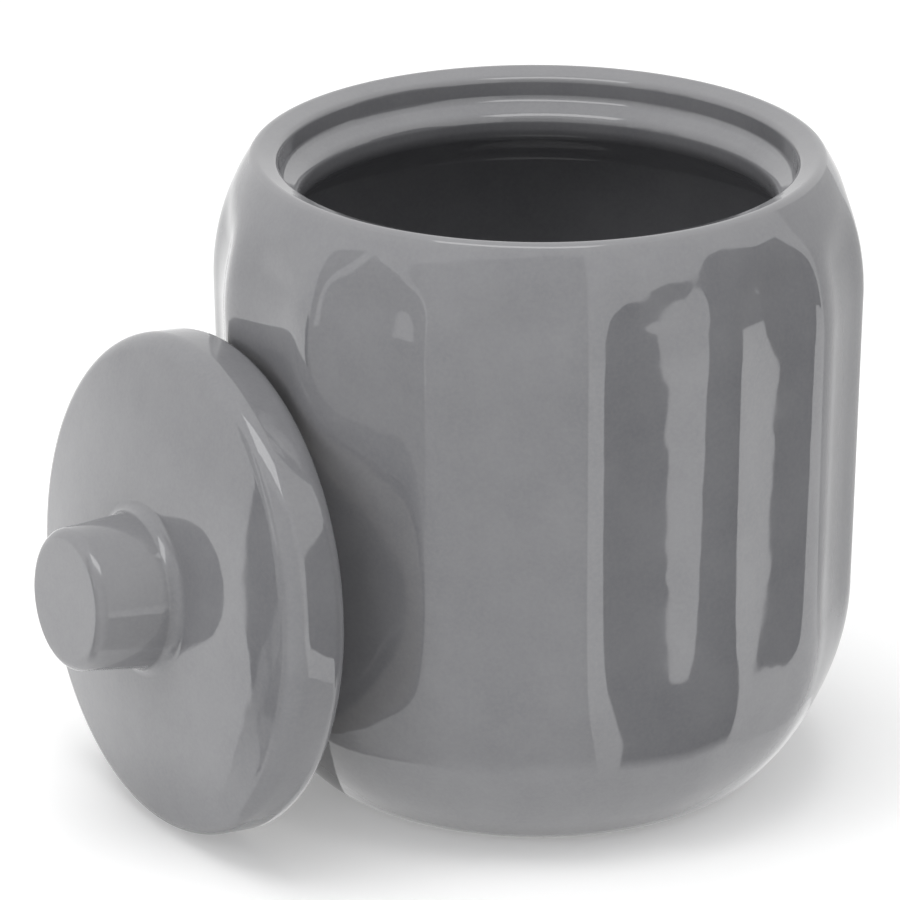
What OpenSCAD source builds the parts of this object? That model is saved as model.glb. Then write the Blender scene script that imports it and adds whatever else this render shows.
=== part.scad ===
// A glazed stoneware jar for round cotton pads, with fourteen soft upright lobes,
// and its round lid with a knob. The lid is off: it stands on its edge beside the
// jar and leans against the wall, knob outwards. Directions round the jar are
// measured from the front (-Y) towards the right (+X), in degrees.

/* [Jar] */
// Greatest width of the wall, over the crests of the lobes
jar_d = 105; // [98:1:120]
// Height from the foot to the top of the rim
jar_h = 106; // [98:0.1:130]
// How far the straight wall draws in from the shoulder to the base
wall_draw = 1; // [0:0.1:2.5]
// Wall thickness behind the valleys
wall_t = 4.5; // [3.5:0.1:5.5]

/* [Lobes] */
// Number of lobes round the wall
lobes = 14; // [8:1:18]
// Depth of the valleys
lobe_depth = 1.5; // [0.4:0.1:2.2]
// Direction of the crest nearest the front
lobe_turn = 8.4; // [-15:0.1:15]
// Narrowing of the crests against the valleys: 0 makes them alike
lobe_narrow = 0.12; // [0:0.01:0.4]
// Distance below the rim at which the lobes begin
lobe_top = 10.8; // [4:0.1:12]
// Distance below the rim at which the lobes have their full depth
lobe_full = 20.6; // [16:0.1:28]
// Height above the foot over which the lobes grow to their full depth
lobe_base = 42.4; // [24:0.1:50]

/* [Shoulder and rim] */
// Radius of the long curve of the shoulder, in section
shoulder_r = 39.8; // [36:0.1:43]
// Turn of that curve before the rim takes over
shoulder_turn = 32.7; // [28:0.1:37]
// Radius of the outer roll of the rim
rim_r = 3.7; // [2.5:0.1:5]
// Width of the flat on top of the rim
rim_land = 0.2; // [0.15:0.05:1]
// Radius of the inner roll of the rim
rim_roll = 1.3; // [0.8:0.1:2]

/* [Base and foot] */
// Radius of the long curve above the foot, in section
base_r = 42.4; // [39:0.1:45]
// Turn of that curve before the tighter one takes over
base_turn = 44.8; // [37:0.1:49]
// Radius of the tighter curve down to the foot
heel_r = 11; // [9:0.5:14]
// Width of the foot ring
foot_w = 6; // [4:0.5:9]
// Depth of the recess inside the foot ring
foot_recess = 1.2; // [0.6:0.1:2]

/* [Mouth] */
// Depth of the gallery, from the rim to the outer edge of the ledge
gallery_depth = 4.6; // [3.8:0.1:7]
// How far the gallery wall draws in over that depth
gallery_draft = 1.1; // [0.3:0.1:1.4]
// Width of the sloping ledge that carries the lid
ledge_w = 2.1; // [1.6:0.1:4]
// Drop of the ledge over its width
ledge_drop = 1.8; // [0.8:0.1:2.4]
// Height of the throat below the ledge
throat_h = 4.1; // [3:0.1:7]
// Height over which the wall opens out below the throat
throat_flare = 6.5; // [5:0.1:9]

/* [Lid] */
// Gap between the lid and the top of the gallery wall, all round
lid_gap = 1.1; // [0.8:0.05:2]
// Height of the lid's edge
lid_edge_h = 10.9; // [9:0.1:14]
// Rounding of the upper edge
lid_top_round = 3.6; // [2:0.1:4.5]
// Rounding of the lower edge, which sits on the ledge
lid_low_round = 3; // [2:0.1:3.6]
// Radius of the lid's dome, in section
dome_r = 166; // [120:1:260]
// Width of the flat ring on the underside
lid_ring_w = 4; // [2.5:0.1:7]
// Thickness of the dome over the hollow
lid_t = 5.5; // [4.5:0.1:7]
// Rounding inside the hollow
hollow_round = 3; // [1.5:0.1:4]

/* [Knob] */
// Height of the knob above its seat
knob_h = 14.5; // [10:0.5:20]
// Radius of the knob at its face
knob_top_r = 11.3; // [9:0.1:12]
// Radius of the knob just above its foot
knob_base_r = 12.6; // [12:0.1:15]
// How far the foot spreads past the knob, onto the dome
knob_spread = 1.8; // [1:0.1:4]
// Thickness of the foot at its edge
knob_foot_t = 0.4; // [0.3:0.05:1]
// Radius of the fillet between foot and knob
knob_fillet = 1.7; // [0.8:0.1:2]
// Rounding round the face
knob_round = 1.9; // [1:0.1:3]

/* [Leaning lid] */
// Direction from the jar to the foot of the lid
lid_bearing = -66.1; // [-120:0.1:-40]
// Direction that the knob faces
lid_facing = -57.2; // [-90:0.1:-40]
// Tilt of the lid back from upright
lid_tilt = 4.3; // [1:0.1:12]
// Gap left where the lid leans on the wall
lean_gap = 0.3; // [0.1:0.05:0.6]

/* [Hidden] */
glaze = [0.43, 0.43, 0.45];
round_fn = 96;

// Facets of the lobed wall: steps across one lobe, and up each stretch of it
lobe_steps = 8;
wall_segs = lobes * lobe_steps;
heel_steps = 5;
base_steps = 11;
wall_steps = 5;
shoulder_steps = 10;
rim_steps = 6;
// Steps along each rounded corner of a turned profile
corner_steps = 6;
// How far a cutting shape reaches past the face that it opens
past = 1;

// Points of an arc from angle a0 to angle a1
function arc(x, z, r, a0, a1, n) =
    [for (i = [0:n]) let (a = a0 + (a1 - a0) * i / n) [x + r * cos(a), z + r * sin(a)]];

// The same path without its first point, for joining onto a path that ends there
function joined(path) = [for (i = [1:len(path) - 1]) path[i]];

function unit(v) = v / norm(v);

// Angle brought into the half turn on either side of nought
function half_turn(a) = a > 180 ? a - 360 : a < -180 ? a + 360 : a;

// The corner at b, between a and c, rounded to radius r
function corner(a, b, c, r) =
    let (
        u = unit(a - b),
        v = unit(c - b),
        half = acos(u * v) / 2,
        m = b + unit(u + v) * r / sin(half),
        p = b + u * r / tan(half) - m,
        q = b + v * r / tan(half) - m,
        a0 = atan2(p[1], p[0]),
        turn = half_turn(atan2(q[1], q[0]) - a0)
    )
    arc(m[0], m[1], r, a0, a0 + turn, corner_steps);

// A path of [x, z, rounding] points with its corners rounded; its ends stay sharp
function rounded(path) =
    let (last = len(path) - 1, xz = [for (p = path) [p[0], p[1]]])
    [for (i = [0:last])
        each (i == 0 || i == last || path[i][2] == 0
            ? [xz[i]]
            : corner(xz[i - 1], xz[i], xz[i + 1], path[i][2]))];

// Jar section: the wall's two long curves and the rolls that end them
jar_r = jar_d / 2;
shoulder_x = jar_r - shoulder_r;
shoulder_z = jar_h - (shoulder_r - rim_r) * sin(shoulder_turn) - rim_r;
rim_x = shoulder_x + (shoulder_r - rim_r) * cos(shoulder_turn);
rim_z = jar_h - rim_r;
base_x = jar_r - wall_draw - base_r;
base_z = (base_r - heel_r) * sin(base_turn) + heel_r;
heel_x = base_x + (base_r - heel_r) * cos(base_turn);

// The outer section at the crests, from the foot up to the rim
outer_path = concat(
    arc(heel_x, heel_r, heel_r, -90, -base_turn, heel_steps),
    joined(arc(base_x, base_z, base_r, -base_turn, 0, base_steps)),
    [for (i = [1:wall_steps - 1])
        let (t = i / wall_steps)
        [jar_r - wall_draw * (1 - t), base_z + (shoulder_z - base_z) * t]],
    arc(shoulder_x, shoulder_z, shoulder_r, 0, shoulder_turn, shoulder_steps),
    joined(arc(rim_x, rim_z, rim_r, shoulder_turn, 90, rim_steps))
);

// A smooth step from 0 to 1
function ease(t) = let (s = min(max(t, 0), 1)) s * s * (3 - 2 * s);

// Share of the full lobe depth at height z
function lobe_share(z) =
    ease((jar_h - lobe_top - z) / (lobe_full - lobe_top)) * ease(z / lobe_base);

// How far a wave of t degrees lies below its crest, from 0 to 1
function dip(t) = (1 - cos(t)) / 2;

// Share of the valley's depth in the direction a: a plain wave from lobe to lobe, and one
// of half its length that narrows the crests and broadens the valleys
function valley_share(a) =
    let (t = lobes * (a - lobe_turn)) dip(t) + lobe_narrow * dip(2 * t);

// Radius in the direction a, where the crests reach radius r at height z
function lobed(r, z, a) = r * (1 - lobe_depth / jar_r * lobe_share(z) * valley_share(a));

function round_point(r, a, z) = [r * sin(a), -r * cos(a), z];

// Mouth and inside: the inner wall keeps the centres of the outer curves
inner_t = wall_t + lobe_depth;
gallery_r = rim_x - rim_land - rim_roll;
ledge_r = gallery_r - gallery_draft;
throat_r = ledge_r - ledge_w;
ledge_z = jar_h - gallery_depth;
throat_top_z = ledge_z - ledge_drop;
throat_low_z = throat_top_z - throat_h;
flare_z = throat_low_z - throat_flare;
// Roundings at the back of the ledge, at its lip and at the lower end of the throat
ledge_round = 1.2;
throat_top_round = 2.2;
throat_low_round = 3;
inner_shoulder_r = shoulder_r - inner_t;
flare_turn = asin((flare_z - shoulder_z) / inner_shoulder_r);
inner_steps = 8;

cavity_path = concat(
    [[0, jar_h + past], [gallery_r + rim_roll, jar_h + past]],
    arc(gallery_r + rim_roll, jar_h - rim_roll, rim_roll, 90, 180, corner_steps),
    joined(rounded([
        [gallery_r, jar_h - rim_roll, 0],
        [ledge_r, ledge_z, ledge_round],
        [throat_r, throat_top_z, throat_top_round],
        [throat_r, throat_low_z, throat_low_round],
        [shoulder_x + inner_shoulder_r * cos(flare_turn), flare_z, 0]
    ])),
    joined(arc(shoulder_x, shoulder_z, inner_shoulder_r, flare_turn, 0, inner_steps)),
    arc(base_x, base_z, base_r - inner_t, 0, -base_turn, inner_steps),
    joined(arc(heel_x, heel_r, heel_r - inner_t, -base_turn, -90, inner_steps)),
    [[0, inner_t]]
);

// Lid section: the dome and the rounded edge share a tangent
lid_r = gallery_r - lid_gap;
edge_x = lid_r - lid_top_round;
edge_z = lid_edge_h - lid_top_round;
dome_z = edge_z - sqrt(pow(dome_r - lid_top_round, 2) - pow(edge_x, 2));
dome_turn = acos(edge_x / (dome_r - lid_top_round));
knob_foot_r = knob_base_r + knob_spread;
seat_turn = acos(knob_foot_r / dome_r);
seat_z = dome_z + dome_r * sin(seat_turn);
dome_steps = 12;
hollow_r = lid_r - lid_low_round - lid_ring_w;
hollow_turn = acos(hollow_r / (dome_r - lid_t));
hollow_rise = dome_z + (dome_r - lid_t) * sin(hollow_turn);
// Where the hollow's rounded corner hands over to the dome's own curve
mid_turn = (90 + hollow_turn) / 2;

hollow_path = rounded([
    [hollow_r, 0, 0],
    [hollow_r, hollow_rise, hollow_round],
    [(dome_r - lid_t) * cos(mid_turn), dome_z + (dome_r - lid_t) * sin(mid_turn), 0]
]);

lid_path = concat(
    [[0, seat_z]],
    arc(0, dome_z, dome_r, seat_turn, dome_turn, dome_steps),
    joined(arc(edge_x, edge_z, lid_top_round, dome_turn, 0, corner_steps)),
    arc(lid_r - lid_low_round, lid_low_round, lid_low_round, 0, -90, corner_steps),
    hollow_path,
    joined(arc(0, dome_z, dome_r - lid_t, mid_turn, 90, inner_steps))
);

// Knob section, from its flat seat up to its face; the fillet stays within the foot
foot_fillet = min(knob_fillet, knob_spread * 0.95);
knob_path = rounded([
    [0, 0, 0],
    [knob_foot_r, 0, 0],
    [knob_foot_r, knob_foot_t, 0],
    [knob_base_r, knob_foot_t, foot_fillet],
    [knob_top_r, knob_h, knob_round],
    [0, knob_h, 0]
]);

// Leaning lid: directions of its axis, of its side and of its upper edge
lid_axis = [sin(lid_facing) * cos(lid_tilt), -cos(lid_facing) * cos(lid_tilt), sin(lid_tilt)];
lid_side = [cos(lid_facing), sin(lid_facing), 0];
lid_up = cross(lid_axis, lid_side);
lid_rest_z = lid_low_round + (lid_r - lid_low_round) * cos(lid_tilt)
    - lid_low_round * sin(lid_tilt);

// Points round the lower edge of the lid, on its upper half, measured from its centre
lean_side_steps = 36;
lean_edge_steps = 8;
lean_points = [for (i = [0:lean_side_steps], j = [0:lean_edge_steps])
    let (
        a = 180 * i / lean_side_steps,
        b = -90 * j / lean_edge_steps,
        r = lid_r - lid_low_round + lid_low_round * cos(b),
        h = lid_low_round + lid_low_round * sin(b)
    )
    lid_side * r * cos(a) + lid_up * r * sin(a) + lid_axis * h];

// Radius of the crests at height z, by the long curves alone
function crest_r(z) =
    z > shoulder_z
        ? shoulder_x + sqrt(max(shoulder_r * shoulder_r - pow(z - shoulder_z, 2), 0))
        : z > base_z
            ? jar_r - wall_draw * (shoulder_z - z) / (shoulder_z - base_z)
            : base_x + sqrt(max(base_r * base_r - pow(base_z - z, 2), 0));

// Least gap between the lid's edge and the wall when the lid's centre is at distance d
function lean_clear(d) =
    min([for (q = lean_points)
        let (p = q + round_point(d, lid_bearing, lid_rest_z), z = min(max(p[2], 0), jar_h))
        norm([p[0], p[1]]) - lobed(crest_r(z), z, atan2(p[0], -p[1]))]);

// The distance at which that gap is lean_gap, by halving a span that holds it
function lean_distance(lo, hi, n) =
    let (mid = (lo + hi) / 2)
    n == 0 ? mid
        : lean_clear(mid) > lean_gap ? lean_distance(lo, mid, n - 1)
        : lean_distance(mid, hi, n - 1);

lean_halvings = 24;
lid_distance = lean_distance(jar_r - lid_r / 2, jar_r + 2 * lid_r, lean_halvings);

// Outer body of the jar, solid, with its lobed wall
module lobed_body() {
    rings = len(outer_path);
    points = [for (p = outer_path, i = [0:wall_segs - 1])
        let (a = lobe_turn + 360 * i / wall_segs)
        round_point(lobed(p[0], p[1], a), a, p[1])];
    sides = [for (k = [0:rings - 2], i = [0:wall_segs - 1])
        let (
            low = k * wall_segs,
            high = low + wall_segs,
            next = (i + 1) % wall_segs
        )
        each [[low + i, high + i, high + next], [low + i, high + next, low + next]]];
    foot = [for (i = [0:wall_segs - 1]) i];
    top = [for (i = [0:wall_segs - 1]) (rings - 1) * wall_segs + wall_segs - 1 - i];
    polyhedron(points, concat(sides, [foot, top]));
}

// Places what is drawn in the lid's own frame at the leaning lid
module leaning() {
    translate(round_point(lid_distance, lid_bearing, lid_rest_z))
        rotate([0, 90 - lid_tilt, lid_facing - 90])
            children();
}

module jar() {
    color(glaze)
        difference() {
            lobed_body();
            rotate_extrude($fn = round_fn)
                polygon(cavity_path);
            translate([0, 0, -past])
                cylinder(r = heel_x - foot_w, h = foot_recess + past, $fn = round_fn);
        }
}

module lid() {
    color(glaze)
        leaning()
            rotate_extrude($fn = round_fn)
                polygon(lid_path);
}

module knob() {
    color(glaze)
        leaning()
            translate([0, 0, seat_z])
                rotate_extrude($fn = round_fn)
                    polygon(knob_path);
}

jar();
lid();
knob();
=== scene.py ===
"""Looks of the cotton pad holder: a grey glazed jar with soft upright lobes, and its lid with a knob.

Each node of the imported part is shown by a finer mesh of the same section, made by the same
formulas. The start of the lobes, the rim, the mouth and the knob's height are refined here.
Sections are in millimetres, as in the part's source. Meshes, lights and the camera are in metres.
"""

import math

import bpy
import numpy as np
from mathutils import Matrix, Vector


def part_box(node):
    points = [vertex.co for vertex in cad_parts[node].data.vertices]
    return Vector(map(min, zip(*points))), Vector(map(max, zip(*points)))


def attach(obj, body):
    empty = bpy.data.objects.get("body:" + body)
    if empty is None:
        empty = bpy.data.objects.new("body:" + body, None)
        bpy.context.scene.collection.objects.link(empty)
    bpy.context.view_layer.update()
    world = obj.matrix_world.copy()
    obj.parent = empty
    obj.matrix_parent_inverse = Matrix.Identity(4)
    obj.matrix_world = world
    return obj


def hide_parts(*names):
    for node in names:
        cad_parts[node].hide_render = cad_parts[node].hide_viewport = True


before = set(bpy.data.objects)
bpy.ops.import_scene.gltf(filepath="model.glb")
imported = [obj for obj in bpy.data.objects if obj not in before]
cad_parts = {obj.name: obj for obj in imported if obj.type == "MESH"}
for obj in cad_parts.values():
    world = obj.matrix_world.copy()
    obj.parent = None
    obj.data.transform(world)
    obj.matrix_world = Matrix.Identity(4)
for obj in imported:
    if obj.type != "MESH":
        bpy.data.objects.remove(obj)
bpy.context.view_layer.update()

MM = 0.001

# Jar: the wall's two long curves, and the heel and foot ring under them. The height is the
# source's, from which the heights of the shoulder and the mouth are measured
JAR_R = 52.5
JAR_H = 106
WALL_DRAW = 1
WALL_T = 4.5
SHOULDER_R = 39.8
SHOULDER_TURN = 32.7
RIM_R = 3.7
BASE_R = 42.4
BASE_TURN = 44.8
HEEL_R = 11
FOOT_W = 6
FOOT_RECESS = 1.2
FOOT_INNER_ROUND = 0.5
FOOT_EDGE_ROUND = 0.4

# Lobes: how far below the rim they begin and are full, and how high above the foot they are full
LOBES = 14
LOBE_DEPTH = 1.5
LOBE_TURN = 8.4
LOBE_NARROW = 0.12
LOBE_TOP = 5
LOBE_FULL = 14
LOBE_BASE = 42.4

# Rim: a small outer roll, then a slope that falls into the mouth
ROLL_R = 1.4
RIM_FALL = 18
MOUTH_IN = 1.5
MOUTH_ROUND = 1.3

# Mouth
GALLERY_DEPTH = 5.8
GALLERY_DRAFT = 0.3
LEDGE_W = 3.3
LEDGE_DROP = 2
LEDGE_ROUND = 1.6
THROAT_H = 3.4
THROAT_FLARE = 6.5
THROAT_TOP_ROUND = 2.2
THROAT_LOW_ROUND = 3

# Lid
LID_GAP = 1.1
LID_EDGE_H = 10.9
LID_TOP_ROUND = 3.6
LID_LOW_ROUND = 3
DOME_R = 166
LID_RING_W = 4
LID_RING_ROUND = 0.5
LID_T = 5.5
HOLLOW_ROUND = 3

# Knob. Its fillet is a little under the one that would reach the foot's very edge
KNOB_H = 13.8
KNOB_TOP_R = 11.3
KNOB_BASE_R = 12.6
KNOB_SPREAD = 1.8
KNOB_ROUND = 1.9
KNOB_FILLET_SHARE = 0.995

# Leaning lid: the way its axis points, from the front towards the right, and its tilt
LID_FACING = -57.2
LID_TILT = 4.3

# Glaze along the section: the clay is bare up to BARE_TOP above the foot and glazed BARE_FADE
# higher. The glaze begins to thin and to take a painted highlight where the section bends by
# THIN_HIGHLIGHT_FROM, in radians per millimetre, and THIN_HIGHLIGHT_BLUR is how many points are
# averaged
BARE_TOP = 0.1
BARE_FADE = 0.25
THIN_HIGHLIGHT_FROM = 0.15
THIN_HIGHLIGHT_SPAN = 0.8
THIN_HIGHLIGHT_BLUR = 5
SHORTEST = 1e-6

# Steps of the shown meshes
ROUND_STEPS = 22 * LOBES
CORNER_STEPS = 10
LONG_STEPS = 40
SHORT_STEPS = 14


def arc(x, z, r, a0, a1, steps):
    """Points of an arc from angle a0 to angle a1, in degrees."""
    angles = np.radians(np.linspace(a0, a1, steps + 1))
    return [(x + r * math.cos(a), z + r * math.sin(a)) for a in angles]


def corner(a, b, c, r):
    """The corner at b, between a and c, rounded to radius r."""
    a, b, c = (np.array(p, float) for p in (a, b, c))
    u = (a - b) / np.linalg.norm(a - b)
    v = (c - b) / np.linalg.norm(c - b)
    half = math.acos(u @ v) / 2
    middle = b + (u + v) / np.linalg.norm(u + v) * r / math.sin(half)
    p = b + u * r / math.tan(half) - middle
    q = b + v * r / math.tan(half) - middle
    start = math.degrees(math.atan2(p[1], p[0]))
    turn = (math.degrees(math.atan2(q[1], q[0])) - start + 180) % 360 - 180
    return arc(*middle, r, start, start + turn, CORNER_STEPS)


def rounded(path):
    """A path of (x, z, rounding) points with its corners rounded. Its ends stay sharp."""
    points = [path[0][:2]]
    for before, here, after in zip(path, path[1:], path[2:]):
        points += corner(before[:2], here[:2], after[:2], here[2]) if here[2] else [here[:2]]
    return points + [path[-1][:2]]


def straight(a, b, steps):
    """Points between a and b, without its ends."""
    a, b = np.array(a), np.array(b)
    return [tuple(a + (b - a) * i / steps) for i in range(1, steps)]


def ease(t):
    """A smooth step from 0 to 1."""
    s = np.clip(t, 0, 1)
    return s * s * (3 - 2 * s)


def lobe_share(z):
    """Share of the full lobe depth at height z."""
    return ease((JAR_H - LOBE_TOP - z) / (LOBE_FULL - LOBE_TOP)) * ease(z / LOBE_BASE)


def valley_share(a):
    """Share of the valley's depth in the direction a."""
    t = LOBES * (a - math.radians(LOBE_TURN))
    return (1 - np.cos(t)) / 2 + LOBE_NARROW * (1 - np.cos(2 * t)) / 2


def bare_share(heights):
    """How bare the clay is at these heights above the foot or the lid's ring."""
    return 1 - ease((heights - BARE_TOP) / BARE_FADE)


def thinned_and_highlit(path, first):
    """How much lighter the glaze is painted at each point, from the point first on.

    It is lighter on tight outward curves, partly as glaze that draws back there and partly as a
    painted highlight.
    """
    points = np.array(path, float)
    ahead = np.diff(points, axis=0, append=points[-1:])
    lengths = np.maximum(np.linalg.norm(ahead, axis=1), SHORTEST)
    turn = np.unwrap(np.arctan2(ahead[:, 1], ahead[:, 0]))
    bend = np.gradient(turn) / lengths
    share = ease((bend - THIN_HIGHLIGHT_FROM) / THIN_HIGHLIGHT_SPAN)
    share[:first] = 0
    return np.convolve(share, np.ones(THIN_HIGHLIGHT_BLUR) / THIN_HIGHLIGHT_BLUR, mode="same")


def jar_sections():
    """The jar's section in three runs, and the radius of its gallery.

    The first run crosses the foot, the second climbs the outside to the rim, and the third goes
    down the inside to the middle of the floor.
    """
    shoulder_x = JAR_R - SHOULDER_R
    shoulder_rad = math.radians(SHOULDER_TURN)
    base_rad = math.radians(BASE_TURN)
    shoulder_z = JAR_H - (SHOULDER_R - RIM_R) * math.sin(shoulder_rad) - RIM_R
    rim_x = shoulder_x + (SHOULDER_R - RIM_R) * math.cos(shoulder_rad)
    roll_x = shoulder_x + (SHOULDER_R - ROLL_R) * math.cos(shoulder_rad)
    roll_z = shoulder_z + (SHOULDER_R - ROLL_R) * math.sin(shoulder_rad)
    base_x = JAR_R - WALL_DRAW - BASE_R
    base_z = (BASE_R - HEEL_R) * math.sin(base_rad) + HEEL_R
    heel_x = base_x + (BASE_R - HEEL_R) * math.cos(base_rad)

    recess_r = heel_x - FOOT_W
    foot = rounded([
        (0, FOOT_RECESS, 0),
        (recess_r, FOOT_RECESS, FOOT_INNER_ROUND),
        (recess_r, 0, FOOT_EDGE_ROUND),
        (heel_x, 0, 0),
    ])[:-1]

    outer = arc(heel_x, HEEL_R, HEEL_R, -90, -BASE_TURN, SHORT_STEPS)
    outer += arc(base_x, base_z, BASE_R, -BASE_TURN, 0, LONG_STEPS)[1:]
    outer += straight((JAR_R - WALL_DRAW, base_z), (JAR_R, shoulder_z), LONG_STEPS)
    outer += arc(shoulder_x, shoulder_z, SHOULDER_R, 0, SHOULDER_TURN, LONG_STEPS)
    outer += arc(roll_x, roll_z, ROLL_R, SHOULDER_TURN, 90, SHORT_STEPS)[1:]

    inner_t = WALL_T + LOBE_DEPTH
    gallery_r = rim_x - MOUTH_IN
    ledge_r = gallery_r - GALLERY_DRAFT
    throat_r = ledge_r - LEDGE_W
    ledge_z = JAR_H - GALLERY_DEPTH
    throat_z = ledge_z - LEDGE_DROP
    flare_z = throat_z - THROAT_H - THROAT_FLARE
    flare_turn = math.degrees(math.asin((flare_z - shoulder_z) / (SHOULDER_R - inner_t)))
    flare_x = shoulder_x + (SHOULDER_R - inner_t) * math.cos(math.radians(flare_turn))
    inner = arc(roll_x, roll_z, ROLL_R, 90, 90 + RIM_FALL, CORNER_STEPS)[1:]
    fall_x, fall_z = inner[-1]
    mouth_z = fall_z - (fall_x - gallery_r) * math.tan(math.radians(RIM_FALL))
    inner += rounded([
        (fall_x, fall_z, 0),
        (gallery_r, mouth_z, MOUTH_ROUND),
        (ledge_r, ledge_z, LEDGE_ROUND),
        (throat_r, throat_z, THROAT_TOP_ROUND),
        (throat_r, throat_z - THROAT_H, THROAT_LOW_ROUND),
        (flare_x, flare_z, 0),
    ])[1:]
    inner += arc(shoulder_x, shoulder_z, SHOULDER_R - inner_t, flare_turn, 0, SHORT_STEPS)[1:]
    inner += arc(base_x, base_z, BASE_R - inner_t, 0, -BASE_TURN, LONG_STEPS)
    inner += arc(heel_x, HEEL_R, HEEL_R - inner_t, -BASE_TURN, -90, SHORT_STEPS)[1:]
    inner += straight((heel_x, inner_t), (0, inner_t), SHORT_STEPS) + [(0, inner_t)]
    return foot, outer, inner, gallery_r


def lid_section():
    """The lid's section, from the knob's seat over the edge into the hollow, and the seat's height."""
    gallery_r = jar_sections()[3]
    lid_r = gallery_r - LID_GAP
    edge_x = lid_r - LID_TOP_ROUND
    edge_z = LID_EDGE_H - LID_TOP_ROUND
    dome_z = edge_z - math.sqrt((DOME_R - LID_TOP_ROUND) ** 2 - edge_x ** 2)
    dome_turn = math.degrees(math.acos(edge_x / (DOME_R - LID_TOP_ROUND)))
    seat_turn = math.degrees(math.acos((KNOB_BASE_R + KNOB_SPREAD) / DOME_R))
    seat_z = dome_z + DOME_R * math.sin(math.radians(seat_turn))
    low_x = lid_r - LID_LOW_ROUND
    hollow_r = low_x - LID_RING_W
    under_r = DOME_R - LID_T
    hollow_turn = math.acos(hollow_r / under_r)
    mid_turn = (math.pi / 2 + hollow_turn) / 2
    path = [(0, seat_z)]
    path += arc(0, dome_z, DOME_R, seat_turn, dome_turn, LONG_STEPS)
    path += arc(edge_x, edge_z, LID_TOP_ROUND, dome_turn, 0, SHORT_STEPS)[1:]
    path += arc(low_x, LID_LOW_ROUND, LID_LOW_ROUND, 0, -90, SHORT_STEPS)
    path += rounded([
        (low_x, 0, 0),
        (hollow_r, 0, LID_RING_ROUND),
        (hollow_r, dome_z + under_r * math.sin(hollow_turn), HOLLOW_ROUND),
        (under_r * math.cos(mid_turn), dome_z + under_r * math.sin(mid_turn), 0),
    ])[1:]
    path += arc(0, dome_z, under_r, math.degrees(mid_turn), 90, SHORT_STEPS)[1:]
    return path, seat_z


def lid_frame():
    """Places points of the lid's own section at the leaning lid, whose node gives its place."""
    facing, tilt = math.radians(LID_FACING), math.radians(LID_TILT)
    axis = np.array([
        math.sin(facing) * math.cos(tilt),
        -math.cos(facing) * math.cos(tilt),
        math.sin(tilt),
    ])
    side = np.array([math.cos(facing), math.sin(facing), 0])
    rise = np.cross(axis, side)
    path = np.array(lid_section()[0])
    highest = np.array(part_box("lid")[1]) / MM
    spans = [max(path[:, 0] * math.sqrt(1 - n * n) + path[:, 1] * n) for n in axis]
    centre = highest - np.array(spans)

    def place(points):
        return centre + points[:, :1] * side + points[:, 1:2] * rise + points[:, 2:] * axis

    return place


def turned(name, path, marks, shares=None, place=None):
    """A closed mesh turned from a section that starts and ends on the axis.

    marks holds named values for each point of the section, shares holds each point's share of
    the lobe depth, and place maps points of the section's own frame into the shared one.
    """
    path = np.array(path, float)
    middle = path[1:-1]
    angles = np.linspace(0, 2 * math.pi, ROUND_STEPS, endpoint=False)
    radii = np.repeat(middle[:, :1], ROUND_STEPS, axis=1)
    if shares is not None:
        radii = radii * (1 - LOBE_DEPTH / JAR_R * np.outer(shares[1:-1], valley_share(angles)))
    rings = np.stack([
        radii * np.sin(angles),
        -radii * np.cos(angles),
        np.repeat(middle[:, 1:], ROUND_STEPS, axis=1),
    ], axis=2).reshape(-1, 3)
    points = np.vstack([[(0, 0, path[0, 1])], rings, [(0, 0, path[-1, 1])]])
    if place is not None:
        points = place(points)

    count = len(middle)
    here = np.arange(ROUND_STEPS)
    after = (here + 1) % ROUND_STEPS
    faces = [(0, 1 + after[i], 1 + here[i]) for i in here]
    for k in range(count - 1):
        low, high = 1 + k * ROUND_STEPS, 1 + (k + 1) * ROUND_STEPS
        faces += [(low + here[i], low + after[i], high + after[i], high + here[i]) for i in here]
    last = 1 + (count - 1) * ROUND_STEPS
    faces += [(last + here[i], last + after[i], len(points) - 1) for i in here]

    mesh = bpy.data.meshes.new(name)
    mesh.from_pydata((points * MM).tolist(), [], [tuple(int(v) for v in f) for f in faces])
    mesh.polygons.foreach_set("use_smooth", [True] * len(mesh.polygons))
    for mark, values in marks.items():
        around = np.repeat(values[1:-1], ROUND_STEPS)
        spread = np.concatenate([values[:1], around, values[-1:]])
        attribute = mesh.attributes.new(mark, "FLOAT", "POINT")
        attribute.data.foreach_set("value", spread.astype(np.float32))
    mesh.update()
    piece = bpy.data.objects.new(name, mesh)
    bpy.context.scene.collection.objects.link(piece)
    return piece


def stand_for(piece, node, body, material):
    """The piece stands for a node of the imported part, rides on its body and wears the glaze."""
    piece.data.materials.append(material)
    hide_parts(node)
    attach(piece, body)


def make_jar(material):
    """Foot ring, lobed wall, rim, gallery, ledge, throat and inside, as one closed skin."""
    foot, outer, inner, _ = jar_sections()
    path = foot + outer + inner
    shares = np.zeros(len(path))
    for i, (_, z) in enumerate(outer):
        shares[len(foot) + i] = lobe_share(z)
    heights = np.array(path)[:, 1]
    underneath = np.arange(len(path)) < len(foot) + SHORT_STEPS
    marks = {
        "bare": np.where(underneath, bare_share(heights), 0),
        "thin_and_highlight": thinned_and_highlit(path, len(foot)),
    }
    piece = turned("jar_body", path, marks, shares=shares)
    stand_for(piece, "jar", "jar", material)


def make_lid(material, place):
    """The domed disc, its rounded edge, the bare ring that it is fired on, and the hollow."""
    path = lid_section()[0][::-1]
    heights = np.array(path)[:, 1]
    marks = {"bare": bare_share(heights), "thin_and_highlight": thinned_and_highlit(path, 0)}
    piece = turned("lid_disc", path, marks, place=place)
    stand_for(piece, "lid", "lid", material)


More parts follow.
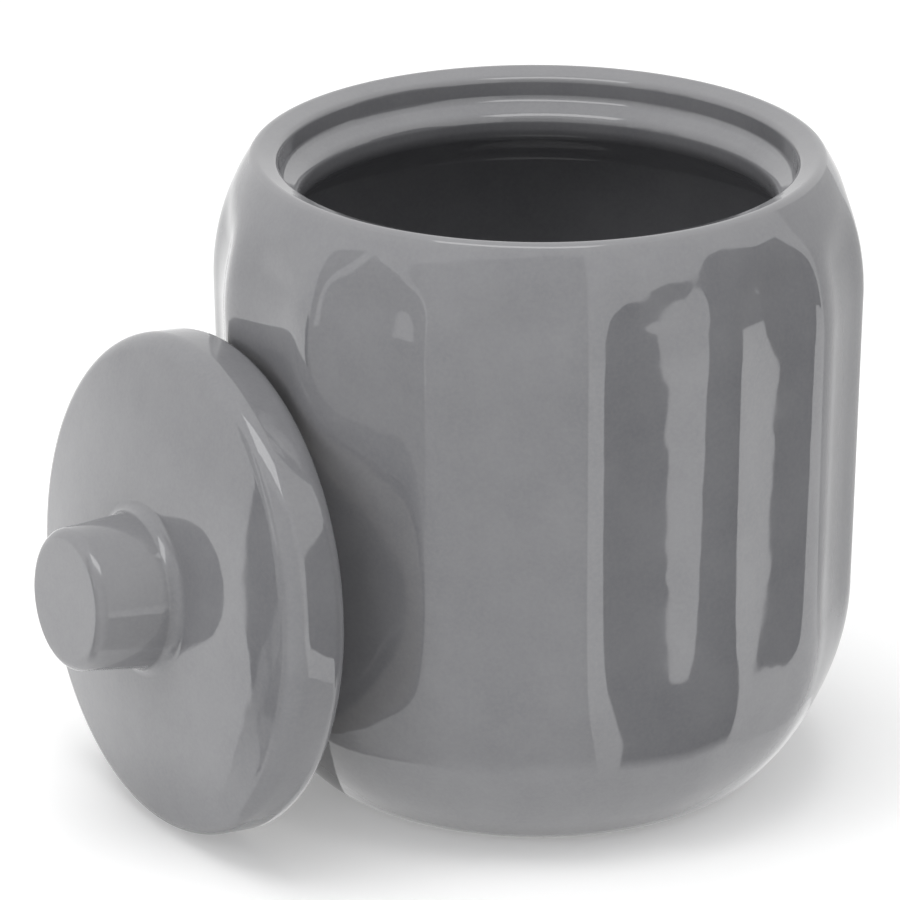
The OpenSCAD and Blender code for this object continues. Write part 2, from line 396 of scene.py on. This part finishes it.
def make_knob(material, place):
    """The tapered knob, whose foot runs out onto the dome in one hollow curve."""
    seat_z = lid_section()[1]
    foot_r = KNOB_BASE_R + KNOB_SPREAD
    slope = foot_r / DOME_R
    side = np.array([KNOB_TOP_R - KNOB_BASE_R, KNOB_H])
    away = np.array([1, -slope]) / math.hypot(1, slope)
    # Where the line of the knob's side meets the line along the dome at the foot
    steps = np.linalg.solve(np.array([away, -side]).T, [KNOB_BASE_R - foot_r, 0])
    meet = np.array([foot_r, seat_z]) + steps[0] * away
    half = math.acos(away @ side / np.linalg.norm(side)) / 2
    fillet = abs(steps[0]) * math.tan(half) * KNOB_FILLET_SHARE
    seat = [(0, seat_z, 0), (foot_r, seat_z, 0)]
    path = rounded(seat + [
        (*meet, fillet),
        (KNOB_TOP_R, seat_z + KNOB_H, KNOB_ROUND),
        (0, seat_z + KNOB_H, 0),
    ])
    marks = {"bare": np.zeros(len(path)), "thin_and_highlight": thinned_and_highlit(path, len(seat))}
    piece = turned("knob", path, marks, place=place)
    stand_for(piece, "knob", "lid", material)


# Glaze: its tones where it lies thick, and thin in grain and on edges with a painted highlight, the
# bare clay's tones, and its gloss
GLAZE_DARK = (0.150, 0.151, 0.161)
GLAZE_LIGHT = (0.174, 0.175, 0.184)
GLAZE_THIN_AND_HIGHLIGHT = (0.205, 0.204, 0.210)
CLAY_DARK = (0.56, 0.53, 0.48)
CLAY_LIGHT = (0.66, 0.63, 0.58)
GLAZE_IOR = 1.6
GLAZE_SPECULAR = 0.9
GLOSS_LOW = 0.035
GLOSS_HIGH = 0.07
CLAY_MATT = 0.7

# Glaze: the scales of its noises, the span of noise that they use, and how strongly they show
CLOUD_SCALE = 95
GRAIN_SCALE = 1500
WAVE_SCALE = 170
RIPPLE_SCALE = 420
NOISE_LOW = 0.3
NOISE_HIGH = 0.7
GRAIN_LOW = 0.35
GRAIN_SHARE = 0.32
# How much of the tone of thin glaze and painted highlight shows on tight outward curves
THIN_HIGHLIGHT_SHARE = 0.6
WAVE_STRENGTH = 0.6
WAVE_DEPTH = 0.00006
RIPPLE_STRENGTH = 0.5
RIPPLE_DEPTH = 0.00001
GRIT_DEPTH = 0.00012


def add(tree, kind, inputs=None, **settings):
    """A shader node with its settings and the values of its inputs."""
    made = tree.nodes.new(kind)
    for key, value in settings.items():
        setattr(made, key, value)
    for key, value in (inputs or {}).items():
        made.inputs[key].default_value = value
    return made


def noise(tree, coords, scale, detail=1, rough=0.5):
    """Noise with features about 1 / scale metres across."""
    made = add(tree, "ShaderNodeTexNoise", {"Scale": scale, "Detail": detail, "Roughness": rough})
    tree.links.new(coords, made.inputs["Vector"])
    return made.outputs["Fac"]


def mapped(tree, value, low, high, to_low, to_high):
    """A value mapped from one span to another, and held inside it."""
    made = add(tree, "ShaderNodeMapRange", {
        "From Min": low, "From Max": high, "To Min": to_low, "To Max": to_high,
    })
    tree.links.new(value, made.inputs["Value"])
    return made.outputs["Result"]


def mixed(tree, share, a, b):
    """Colours a and b mixed. Each is a colour or an output."""
    made = add(tree, "ShaderNodeMix", data_type="RGBA")
    for name, value in (("A", a), ("B", b)):
        socket = [s for s in made.inputs if s.name == name and s.type == "RGBA"][0]
        if isinstance(value, tuple):
            socket.default_value = (*value, 1)
        else:
            tree.links.new(value, socket)
    tree.links.new(share, made.inputs["Factor"])
    return [s for s in made.outputs if s.type == "RGBA"][0]


def math_node(tree, operation, a, b):
    """The outputs a and b under a maths operation."""
    made = add(tree, "ShaderNodeMath", operation=operation)
    tree.links.new(a, made.inputs[0])
    tree.links.new(b, made.inputs[1])
    return made.outputs[0]


def bump(tree, height, depth, below=None):
    """A bump of that depth in metres, on top of the bump below."""
    made = add(tree, "ShaderNodeBump", {"Distance": depth})
    tree.links.new(height, made.inputs["Height"])
    if below is not None:
        tree.links.new(below.outputs["Normal"], made.inputs["Normal"])
    return made


def glaze():
    """Grey gloss glaze: cloudy, with fine grain and faint waves, lighter on sharp edges as thin glaze
    and a painted highlight.

    The mark "bare" shows the clay in its place, matt and gritty.
    """
    material = bpy.data.materials.new("grey_glaze")
    material.use_nodes = True
    tree = material.node_tree
    shader = tree.nodes["Principled BSDF"]
    shader.inputs["IOR"].default_value = GLAZE_IOR
    shader.inputs["Specular IOR Level"].default_value = GLAZE_SPECULAR
    coords = add(tree, "ShaderNodeTexCoord").outputs["Object"]
    thin_and_highlight = add(tree, "ShaderNodeAttribute", attribute_name="thin_and_highlight").outputs["Fac"]
    bare = add(tree, "ShaderNodeAttribute", attribute_name="bare").outputs["Fac"]

    cloud = noise(tree, coords, CLOUD_SCALE, detail=4, rough=0.6)
    grain = noise(tree, coords, GRAIN_SCALE, detail=3, rough=0.65)
    waves = noise(tree, coords, WAVE_SCALE)
    ripple = noise(tree, coords, RIPPLE_SCALE)

    clouds = mapped(tree, cloud, NOISE_LOW, NOISE_HIGH, 0, 1)
    grains = mapped(tree, grain, GRAIN_LOW, NOISE_HIGH, 0, GRAIN_SHARE)
    tone = mixed(tree, clouds, GLAZE_DARK, GLAZE_LIGHT)
    tone = mixed(tree, grains, tone, GLAZE_THIN_AND_HIGHLIGHT)
    # Lighter on tight outward curves: partly thin glaze, partly a painted highlight
    tone = mixed(tree, mapped(tree, thin_and_highlight, 0, 1, 0, THIN_HIGHLIGHT_SHARE), tone, GLAZE_THIN_AND_HIGHLIGHT)
    clay = mixed(tree, mapped(tree, grain, NOISE_LOW, NOISE_HIGH, 0, 1), CLAY_DARK, CLAY_LIGHT)
    tree.links.new(mixed(tree, bare, tone, clay), shader.inputs["Base Color"])

    gloss = mapped(tree, cloud, NOISE_LOW, NOISE_HIGH, GLOSS_LOW, GLOSS_HIGH)
    matt = mapped(tree, bare, 0, 1, 0, CLAY_MATT)
    tree.links.new(math_node(tree, "ADD", gloss, matt), shader.inputs["Roughness"])

    swell = bump(tree, waves, WAVE_DEPTH)
    swell.inputs["Strength"].default_value = WAVE_STRENGTH
    peel = bump(tree, ripple, RIPPLE_DEPTH, below=swell)
    peel.inputs["Strength"].default_value = RIPPLE_STRENGTH
    grit = bump(tree, grain, GRIT_DEPTH, below=peel)
    tree.links.new(bare, grit.inputs["Strength"])
    tree.links.new(grit.outputs["Normal"], shader.inputs["Normal"])
    return material


# Camera, measured from the jar's foot
CAMERA_PLACE = (0, -0.94406, 0.41716)
CAMERA_PAN = -0.0149
CAMERA_TILT = 0.3676
CAMERA_END = 20
SENSOR_W = 36
PHOTO_W = 900
FOCAL_PIXELS = 6220


def make_camera():
    """A long lens in front of the jar, looking down at it by about 21 degrees."""
    data = bpy.data.cameras.new("camera")
    data.sensor_width = SENSOR_W
    data.lens = SENSOR_W * FOCAL_PIXELS / PHOTO_W
    data.clip_end = CAMERA_END
    camera = bpy.data.objects.new("camera", data)
    camera.location = CAMERA_PLACE
    camera.rotation_euler = (math.pi / 2 - CAMERA_TILT, 0, -CAMERA_PAN)
    bpy.context.scene.collection.objects.link(camera)
    bpy.context.scene.camera = camera


# World and floor. The floor glows a little where it is seen, and is plain white from FLOOR_FAR on
WHITE = (1.0, 1.0, 1.0)
AMBIENT = 0.5
FLOOR_TONE = (0.80, 0.80, 0.80)
FLOOR_GLOW = 0.25
FLOOR_HALF = 4.0
FLOOR_NEAR = 0.35
FLOOR_FAR = 0.8
FLOOR_Z = -0.0001


def seen_directly(tree):
    """1 for camera, glossy and transmission rays, 0 for the rays that light things."""
    rays = add(tree, "ShaderNodeLightPath")
    share = math_node(tree, "MAXIMUM", rays.outputs["Is Camera Ray"], rays.outputs["Is Glossy Ray"])
    return math_node(tree, "MAXIMUM", share, rays.outputs["Is Transmission Ray"])


def mix_shaders(tree, share, a, b, out):
    """Shaders a and b, mixed by the output share, as the material's surface."""
    both = add(tree, "ShaderNodeMixShader")
    tree.links.new(share, both.inputs["Fac"])
    tree.links.new(a.outputs[0], both.inputs[1])
    tree.links.new(b.outputs[0], both.inputs[2])
    tree.links.new(both.outputs["Shader"], out.inputs["Surface"])


def make_world():
    """White where it is seen, and a plain level of light from all round."""
    world = bpy.data.worlds.new("studio")
    bpy.context.scene.world = world
    world.use_nodes = True
    tree = world.node_tree
    background = tree.nodes["Background"]
    background.inputs["Color"].default_value = (*WHITE, 1)
    level = mapped(tree, seen_directly(tree), 0, 1, AMBIENT, 1)
    tree.links.new(level, background.inputs["Strength"])


def make_floor():
    """A plain pale floor that keeps the object's shadow and turns white well away from it."""
    mesh = bpy.data.meshes.new("floor")
    signs = ((-1, -1), (1, -1), (1, 1), (-1, 1))
    corners = [(x * FLOOR_HALF, y * FLOOR_HALF, 0) for x, y in signs]
    mesh.from_pydata(corners, [], [(0, 1, 2, 3)])
    material = bpy.data.materials.new("floor")
    material.use_nodes = True
    tree = material.node_tree
    shader = tree.nodes["Principled BSDF"]
    shader.inputs["Base Color"].default_value = (*FLOOR_TONE, 1)
    shader.inputs["Roughness"].default_value = 1
    shader.inputs["Specular IOR Level"].default_value = 0
    shader.inputs["Emission Color"].default_value = (*WHITE, 1)
    seen = seen_directly(tree)
    tree.links.new(mapped(tree, seen, 0, 1, 0, FLOOR_GLOW), shader.inputs["Emission Strength"])
    length = add(tree, "ShaderNodeVectorMath", operation="LENGTH")
    tree.links.new(add(tree, "ShaderNodeTexCoord").outputs["Object"], length.inputs[0])
    away = mapped(tree, length.outputs["Value"], FLOOR_NEAR, FLOOR_FAR, 0, 1)
    white = add(tree, "ShaderNodeEmission", {"Color": (*WHITE, 1)})
    share = math_node(tree, "MULTIPLY", away, seen)
    mix_shaders(tree, share, shader, white, tree.nodes["Material Output"])
    mesh.materials.append(material)
    floor = bpy.data.objects.new("floor", mesh)
    floor.location.z = FLOOR_Z
    bpy.context.scene.collection.objects.link(floor)


# Studio cards, seen in the glaze only. Each fans out round a place on the floor by the jar. Its
# values are its name, that place, how far from the jar's axis it begins and has its full tone, how
# far from its place it stands up, its tone, and its lower and upper edge there as (side, low, high),
# with sides in degrees from the front. A card that begins at 0 only stands
AXIS_PLACE = (0, 0)
RIGHT_PLACE = (0.0074, -0.0356)
LEFT_PLACE = (-0.0074, -0.0356)
LID_PLACE = (-0.040, -0.057)
CARD_FAR = 0.28
PANEL_FAR = 0.5
BASE_END = 0.0555
DARK = 0.03
DIM = 0.1
GREY = 0.5
PALE = 0.7
CARDS = (
    ("right_floor", RIGHT_PLACE, BASE_END, 0.0605, CARD_FAR, DARK, ((42, 0, 0), (96, 0, 0))),
    ("right_stand", RIGHT_PLACE, 0, 0, CARD_FAR, DARK, (
        (42, 0, 0.090), (46, 0, 0.118), (52, 0, 0.151), (60, 0, 0.194), (70, 0, 0.233),
        (77, 0, 0.229), (83, 0, 0.212), (90, 0, 0.186), (96, 0, 0.180),
    )),
    ("right_side_stand", RIGHT_PLACE, 0, 0, CARD_FAR, DIM, (
        (96, 0.055, 0.180), (101, 0.05, 0.174), (103, 0.045, 0.110), (105, 0.045, 0.05),
    )),
    ("left_floor", LEFT_PLACE, 0.075, 0.13, CARD_FAR, GREY, ((-84, 0, 0), (-52, 0, 0))),
    ("lid_strip", LID_PLACE, 0.093, 0.098, CARD_FAR, DARK, (
        (-95, 0, 0.045), (-92, 0, 0.077), (-88, 0, 0.060), (-84, 0, 0.045),
    )),
    ("left_stand", LEFT_PLACE, 0, 0, CARD_FAR, GREY, (
        (-68, 0.15, 0.238), (-66, 0.10, 0.235), (-62, 0, 0.21), (-54, 0, 0.163), (-52, 0, 0.069),
    )),
    ("left_gap_low", LEFT_PLACE, 0, 0, CARD_FAR, GREY, ((-78, 0, 0.06), (-62, 0, 0.075))),
    ("left_side_stand", LEFT_PLACE, 0, 0, CARD_FAR, GREY, (
        (-84, 0, 0.06), (-83, 0, 0.198), (-78, 0, 0.220), (-72, 0.12, 0.235),
    )),
    ("base_floor", AXIS_PLACE, 0.034, 0.040, BASE_END, 1.0, ((-58, 0, 0), (105, 0, 0))),
    ("front_panel", AXIS_PLACE, 0.056, 0.062, CARD_FAR, PALE, (
        (-46, 0, 0.240), (-20, 0, 0.299), (5, 0, 0.321), (18, 0, 0.310),
    )),
    ("back_right_panel", AXIS_PLACE, 0.06, 0.12, PANEL_FAR, PALE, ((106, 0, 0.3), (150, 0, 0.1))),
)
CARD_STEPS = 24
CARD_RISE = 0.0002
CARD_LOWEST = 0.001


def reach(place, side, radius):
    """How far a circle round the jar's axis lies from place, in the direction side."""
    along = place[0] * math.sin(side) - place[1] * math.cos(side)
    return math.sqrt(radius ** 2 - place[0] ** 2 - place[1] ** 2 + along ** 2) - along


def card_mesh(name, place, near, full, far, outline):
    """The card's mesh: steps of its sides, with rows from its near edge out and up."""
    sides = np.linspace(outline[0][0], outline[-1][0], CARD_STEPS + 1)
    marked = [o[0] for o in outline]
    lows = np.interp(sides, marked, [o[1] for o in outline])
    highs = np.interp(sides, marked, [o[2] for o in outline])
    points, fades = [], []
    for side, low, high in zip(np.radians(sides), lows, highs):
        section = []
        if near:
            section.append((reach(place, side, near), CARD_RISE, 0))
            section.append((reach(place, side, full), CARD_RISE, 1))
            section.append((far, CARD_RISE, 1))
        section.append((far, low, 1))
        section.append((far, max(high, low + CARD_LOWEST), 1))
        for r, z, fade in section:
            points.append((place[0] + r * math.sin(side), place[1] - r * math.cos(side), z))
            fades.append(fade)
    rows = len(section)
    faces = []
    for k in range(CARD_STEPS):
        for j in range(rows - 1):
            here = k * rows + j
            faces.append((here, here + 1, here + rows + 1, here + rows))
    mesh = bpy.data.meshes.new(name)
    mesh.from_pydata(points, [], faces)
    attribute = mesh.attributes.new("fade", "FLOAT", "POINT")
    attribute.data.foreach_set("value", fades)
    return mesh


def make_card(name, place, near, full, far, tone, outline):
    """A card that lies on the floor, where near is given, and stands up at its far edge."""
    mesh = card_mesh(name, place, near, full, far, outline)
    material = bpy.data.materials.new(name)
    material.use_nodes = True
    tree = material.node_tree
    tree.nodes.clear()
    fade = add(tree, "ShaderNodeAttribute", attribute_name="fade").outputs["Fac"]
    clear = add(tree, "ShaderNodeBsdfTransparent")
    shown = add(tree, "ShaderNodeEmission", {"Color": (tone, tone, tone, 1)})
    mix_shaders(tree, fade, clear, shown, add(tree, "ShaderNodeOutputMaterial"))
    mesh.materials.append(material)
    card_object = bpy.data.objects.new(name, mesh)
    bpy.context.scene.collection.objects.link(card_object)
    card_object.visible_camera = False
    card_object.visible_diffuse = False
    card_object.visible_transmission = False
    card_object.visible_volume_scatter = False
    card_object.visible_shadow = False


# Lamps: name, place, size, power, and whether the glaze shows them
LAMPS = (
    ("top_light", (-0.2, 0.0, 1.3), (1.0, 1.0), 9.5, False),
    ("high_light", (-0.1, -0.42, 1.1), (0.9, 0.42), 2.0, True),
    ("left_light", (-1.2, -0.6, 0.7), (0.5, 1.0), 3.2, False),
    ("right_light", (1.2, 0.3, 0.7), (0.5, 1.0), 3, False),
    ("low_left_light", (-0.6, -0.9, 0.14), (0.8, 0.24), 2.4, False),
    ("low_right_light", (0.7, -0.8, 0.14), (0.8, 0.24), 2.0, False),
)
LAMP_AIM = (0, 0, 0.05)


def make_lamp(name, place, size, power, in_glaze):
    """A soft rectangular lamp that faces the object."""
    data = bpy.data.lights.new(name, "AREA")
    data.shape = "RECTANGLE"
    data.size, data.size_y = size
    data.energy = power
    lamp = bpy.data.objects.new(name, data)
    lamp.location = place
    lamp.visible_glossy = in_glaze
    lamp.rotation_euler = (Vector(LAMP_AIM) - Vector(place)).to_track_quat("-Z", "Y").to_euler()
    bpy.context.scene.collection.objects.link(lamp)


bpy.context.scene.view_settings.view_transform = "Standard"
glazed = glaze()
lid_place = lid_frame()
make_jar(glazed)
make_lid(glazed, lid_place)
make_knob(glazed, lid_place)
make_camera()
make_world()
make_floor()
for values in CARDS:
    make_card(*values)
for values in LAMPS:
    make_lamp(*values)
